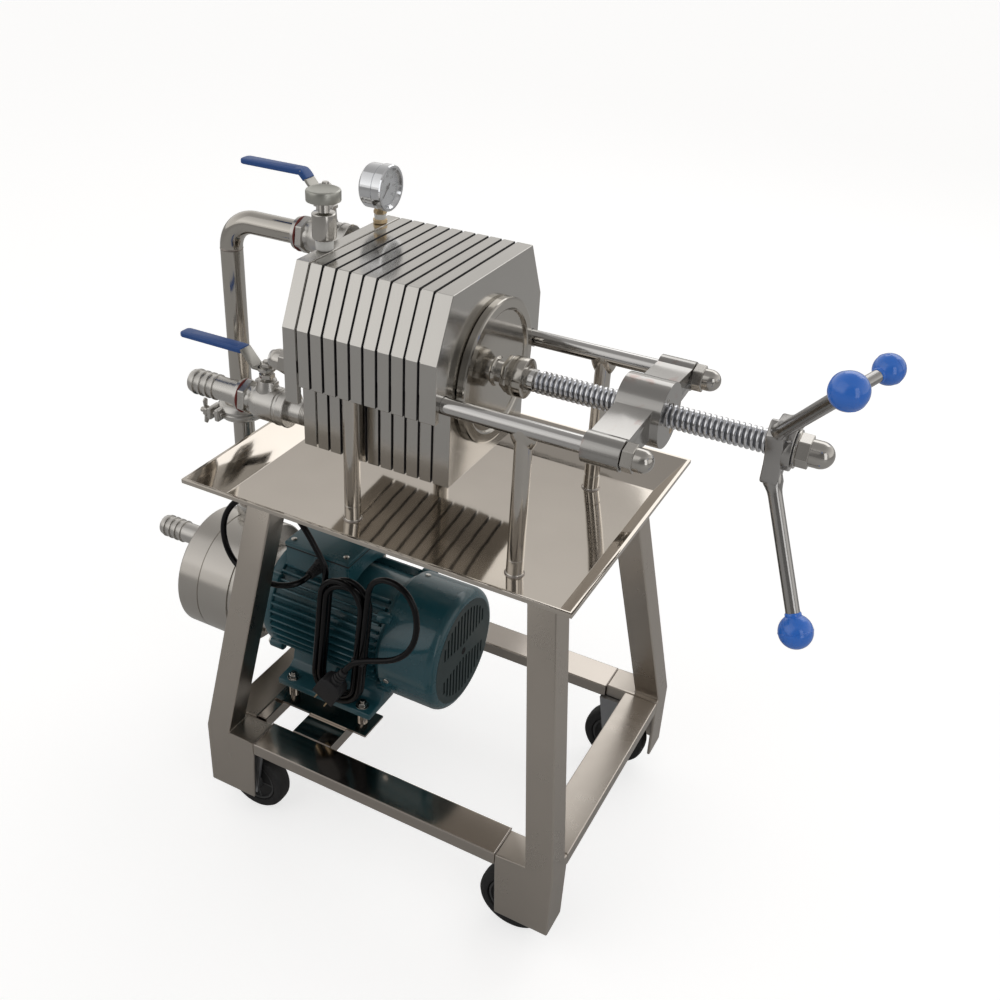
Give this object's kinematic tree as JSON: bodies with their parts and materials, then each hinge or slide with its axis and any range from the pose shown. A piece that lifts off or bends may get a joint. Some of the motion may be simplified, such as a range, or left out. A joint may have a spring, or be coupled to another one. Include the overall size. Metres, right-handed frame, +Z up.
{
  "type": "plate filter press",
  "caption": "Small stainless plate filter press on a wheeled stand: notched plates on guide rods, a screw with a three-armed handle, drip tray, motor pump, ball valves and gauge.",
  "frame": {"origin": "centre of the machine's box at floor level", "axes": "+X along the press towards the handle, +Y away from the side the operator stands at, +Z up"},
  "size_m": [0.7742, 0.3236, 0.699],
  "materials": {
    "black_cord": "satin",
    "black_wheel": "matte",
    "blue_ball": "gloss",
    "blue_vinyl": "satin",
    "mirror_steel": "polished",
    "motor_green": "gloss",
    "plate_steel": "fine ground",
    "satin_steel": "satin",
    "steel_gauge": "polished"
  },
  "bodies": {
    "stand": {"caster_far_left_fork": "satin_steel", "caster_far_right_fork": "satin_steel", "caster_near_left_fork": "satin_steel", "caster_near_right_fork": "satin_steel", "cord_gland": "black_cord", "cord_hank": "black_cord", "cord_lead": "black_cord", "cord_tail": "black_cord", "cross_bar_left": "satin_steel", "cross_bar_right": "satin_steel", "crosshead": "mirror_steel", "delivery_valve": "satin_steel", "fan_cover": "motor_green", "fixed_head": "plate_steel", "gauge": "steel_gauge", "guide_rod_far": "mirror_steel", "guide_rod_near": "mirror_steel", "leg_far_left": "satin_steel", "leg_far_right": "satin_steel", "leg_near_left": "satin_steel", "leg_near_right": "satin_steel", "mains_plug": "black_cord", "motor_bar_far": "satin_steel", "motor_bar_near": "satin_steel", "motor_body": "motor_green", "outlet_tail": "satin_steel", "outlet_valve": "satin_steel", "pipe_clamp": "satin_steel", "pump_casing": "mirror_steel", "pump_inlet": "satin_steel", "rail_far": "satin_steel", "rail_left": "satin_steel", "rail_near": "satin_steel", "rail_right": "satin_steel", "riser_pipe": "mirror_steel", "terminal_box": "motor_green", "tray": "mirror_steel", "vent": "mirror_steel"},
    "plate_body_1": {"filter_plate_1": "plate_steel"},
    "plate_body_2": {"filter_plate_2": "plate_steel"},
    "plate_body_3": {"filter_plate_3": "plate_steel"},
    "plate_body_4": {"filter_plate_4": "plate_steel"},
    "plate_body_5": {"filter_plate_5": "plate_steel"},
    "plate_body_6": {"filter_plate_6": "plate_steel"},
    "plate_body_7": {"filter_plate_7": "plate_steel"},
    "plate_body_8": {"filter_plate_8": "plate_steel"},
    "plate_body_9": {"filter_plate_9": "plate_steel"},
    "follower": {"follower_plate": "plate_steel", "pressure_disc": "mirror_steel"},
    "handwheel": {"spindle": "mirror_steel", "handle": "satin_steel", "ball_1": "blue_ball", "ball_2": "blue_ball", "ball_3": "blue_ball"},
    "delivery_lever_body": {"delivery_lever": "blue_vinyl"},
    "outlet_lever_body": {"outlet_lever": "blue_vinyl"},
    "wheel_near_left": {"caster_near_left_wheel": "black_wheel"},
    "wheel_near_right": {"caster_near_right_wheel": "black_wheel"},
    "wheel_far_left": {"caster_far_left_wheel": "black_wheel"},
    "wheel_far_right": {"caster_far_right_wheel": "black_wheel"}
  },
  "joints": [
    {"name": "follower_slide", "type": "slide", "parent": "stand", "child": "follower", "axis": [1, 0, 0], "range_m": [0, 0.0851]},
    {"name": "handle_turn", "type": "hinge", "parent": "follower", "child": "handwheel", "pos_m": [0.20715, 0, 0.541], "axis": [1, 0, 0], "range_deg": [0, 6120]},
    {"name": "plate_slide_1", "type": "slide", "parent": "stand", "child": "plate_body_1", "axis": [1, 0, 0], "range_m": [0, 0.0086]},
    {"name": "plate_slide_2", "type": "slide", "parent": "stand", "child": "plate_body_2", "axis": [1, 0, 0], "range_m": [0, 0.0171]},
    {"name": "plate_slide_3", "type": "slide", "parent": "stand", "child": "plate_body_3", "axis": [1, 0, 0], "range_m": [0, 0.0256]},
    {"name": "plate_slide_4", "type": "slide", "parent": "stand", "child": "plate_body_4", "axis": [1, 0, 0], "range_m": [0, 0.0341]},
    {"name": "plate_slide_5", "type": "slide", "parent": "stand", "child": "plate_body_5", "axis": [1, 0, 0], "range_m": [0, 0.0426]},
    {"name": "plate_slide_6", "type": "slide", "parent": "stand", "child": "plate_body_6", "axis": [1, 0, 0], "range_m": [0, 0.0511]},
    {"name": "plate_slide_7", "type": "slide", "parent": "stand", "child": "plate_body_7", "axis": [1, 0, 0], "range_m": [0, 0.0596]},
    {"name": "plate_slide_8", "type": "slide", "parent": "stand", "child": "plate_body_8", "axis": [1, 0, 0], "range_m": [0, 0.0681]},
    {"name": "plate_slide_9", "type": "slide", "parent": "stand", "child": "plate_body_9", "axis": [1, 0, 0], "range_m": [0, 0.0766]},
    {"name": "delivery_lever_turn", "type": "hinge", "parent": "stand", "child": "delivery_lever_body", "pos_m": [-0.15185, 0.02, 0.672], "axis": [0, 0, -1], "range_deg": [0, 90]},
    {"name": "outlet_lever_turn", "type": "hinge", "parent": "stand", "child": "outlet_lever_body", "pos_m": [-0.17185, -0.06, 0.511], "axis": [0, 0, 1], "range_deg": [0, 90]},
    {"name": "wheel_near_left_roll", "type": "hinge", "parent": "stand", "child": "wheel_near_left", "pos_m": [-0.15485, -0.1365, 0.0375], "axis": [0, 1, 0], "continuous": true},
    {"name": "wheel_near_right_roll", "type": "hinge", "parent": "stand", "child": "wheel_near_right", "pos_m": [0.16915, -0.1365, 0.0375], "axis": [0, 1, 0], "continuous": true},
    {"name": "wheel_far_left_roll", "type": "hinge", "parent": "stand", "child": "wheel_far_left", "pos_m": [-0.15485, 0.1365, 0.0375], "axis": [0, 1, 0], "continuous": true},
    {"name": "wheel_far_right_roll", "type": "hinge", "parent": "stand", "child": "wheel_far_right", "pos_m": [0.16915, 0.1365, 0.0375], "axis": [0, 1, 0], "continuous": true}
  ],
  "couplings": [
    {"joint": "follower_slide", "follows": "handle_turn", "m_per_rad": 0.00079577},
    {"joint": "plate_slide_1", "follows": "handle_turn", "m_per_rad": 0.000079577},
    {"joint": "plate_slide_2", "follows": "handle_turn", "m_per_rad": 0.00015915},
    {"joint": "plate_slide_3", "follows": "handle_turn", "m_per_rad": 0.00023873},
    {"joint": "plate_slide_4", "follows": "handle_turn", "m_per_rad": 0.00031831},
    {"joint": "plate_slide_5", "follows": "handle_turn", "m_per_rad": 0.00039789},
    {"joint": "plate_slide_6", "follows": "handle_turn", "m_per_rad": 0.00047746},
    {"joint": "plate_slide_7", "follows": "handle_turn", "m_per_rad": 0.00055704},
    {"joint": "plate_slide_8", "follows": "handle_turn", "m_per_rad": 0.00063662},
    {"joint": "plate_slide_9", "follows": "handle_turn", "m_per_rad": 0.0007162}
  ]
}
